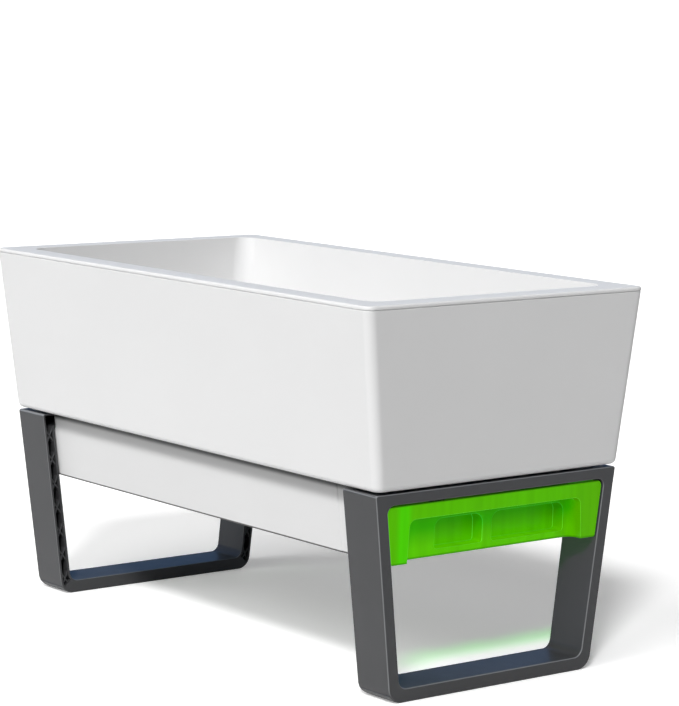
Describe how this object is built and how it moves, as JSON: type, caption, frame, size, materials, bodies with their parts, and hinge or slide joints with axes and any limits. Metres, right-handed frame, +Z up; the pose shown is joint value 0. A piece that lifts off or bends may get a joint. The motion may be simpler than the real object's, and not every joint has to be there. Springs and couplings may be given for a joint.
{
  "type": "self-watering planter box",
  "caption": "Tapered planter box with a soil liner on loop legs, and water trays that pull out at each end.",
  "frame": {"origin": "on the floor under the middle of the planter", "axes": "+X along the length towards the end in the foreground, +Y across, +Z up"},
  "size_m": [0.9996, 0.529, 0.58],
  "materials": {
    "shell": "satin",
    "liner": "satin",
    "frame": "satin",
    "apron": "satin",
    "tray": "translucent",
    "pot": "satin",
    "wick": "felt",
    "screw": "zinc plated"
  },
  "bodies": {
    "planter": {"planter_shell": "shell", "soil_liner": "liner", "leg_frame_left": "frame", "leg_frame_right": "frame", "side_apron_front": "apron", "side_apron_back": "apron", "wick_pot_1": "pot", "wick_pot_2": "pot", "wick_pot_3": "pot", "wick_pot_4": "pot", "wick_1": "wick", "wick_2": "wick", "wick_3": "wick", "wick_4": "wick", "frame_screws_left": "screw", "frame_screws_right": "screw", "apron_screws_front": "screw", "apron_screws_back": "screw"},
    "tray_left": {"water_tray_left": "tray"},
    "tray_right": {"water_tray_right": "tray"}
  },
  "joints": [
    {"name": "tray_left_slide", "type": "slide", "parent": "planter", "child": "tray_left", "axis": [-1, 0, 0], "range_m": [0, 0.48], "deforming": ["wick_1", "wick_2"]},
    {"name": "tray_right_slide", "type": "slide", "parent": "planter", "child": "tray_right", "axis": [1, 0, 0], "range_m": [0, 0.48], "deforming": ["wick_3", "wick_4"]}
  ]
}
